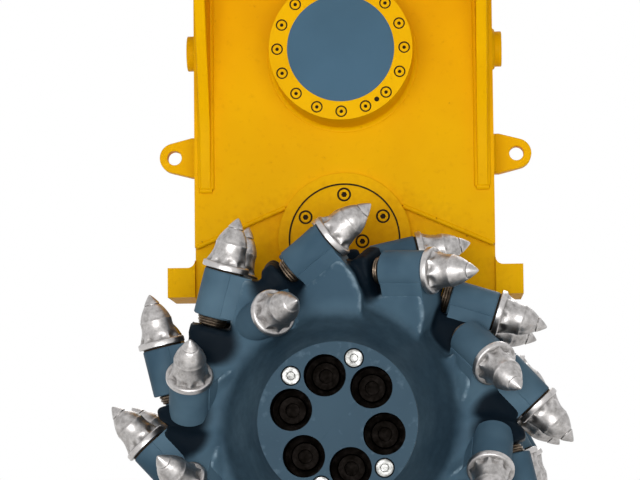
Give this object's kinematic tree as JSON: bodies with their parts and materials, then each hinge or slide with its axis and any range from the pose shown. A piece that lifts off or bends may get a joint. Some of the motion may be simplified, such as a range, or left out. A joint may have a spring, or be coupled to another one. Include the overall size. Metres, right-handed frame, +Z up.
{
  "type": "excavator drum cutter attachment",
  "caption": "Transverse drum cutter for an excavator arm: a welded gear case under a bolted mounting flange, with spiral pick drums on a cross shaft on both sides.",
  "frame": {"origin": "middle of the mounting flange's top face", "axes": "+Z up, out of the mounting flange; Y along the cross shaft; X across the narrow walls of the gear case"},
  "size_m": [0.6904, 0.95, 1.1146],
  "materials": {
    "case_paint": "gloss",
    "drum_paint": "satin",
    "pick_steel": "worn",
    "machined_steel": "satin",
    "motor_iron": "matt"
  },
  "bodies": {
    "housing": {"mounting_flange": "case_paint", "gear_case": "case_paint", "motor_bosses": "case_paint", "motor_covers": "case_paint", "idler_covers": "case_paint", "gusset_right_front": "case_paint", "gusset_right_rear": "case_paint", "gusset_left_front": "case_paint", "gusset_left_rear": "case_paint", "guard_bars": "case_paint", "lifting_eyes": "case_paint", "port_bosses": "case_paint", "port_plugs": "machined_steel", "hydraulic_motor": "motor_iron"},
    "drums": {"cross_shaft": "machined_steel", "drum_hub_front": "drum_paint", "drum_hub_rear": "drum_paint", "drum_front": "drum_paint", "drum_rear": "drum_paint", "picks_front": "pick_steel", "picks_rear": "pick_steel"}
  },
  "joints": [
    {"name": "drum_spin", "type": "hinge", "parent": "housing", "child": "drums", "pos_m": [0, 0, -0.777], "axis": [0, 1, 0], "continuous": true}
  ]
}
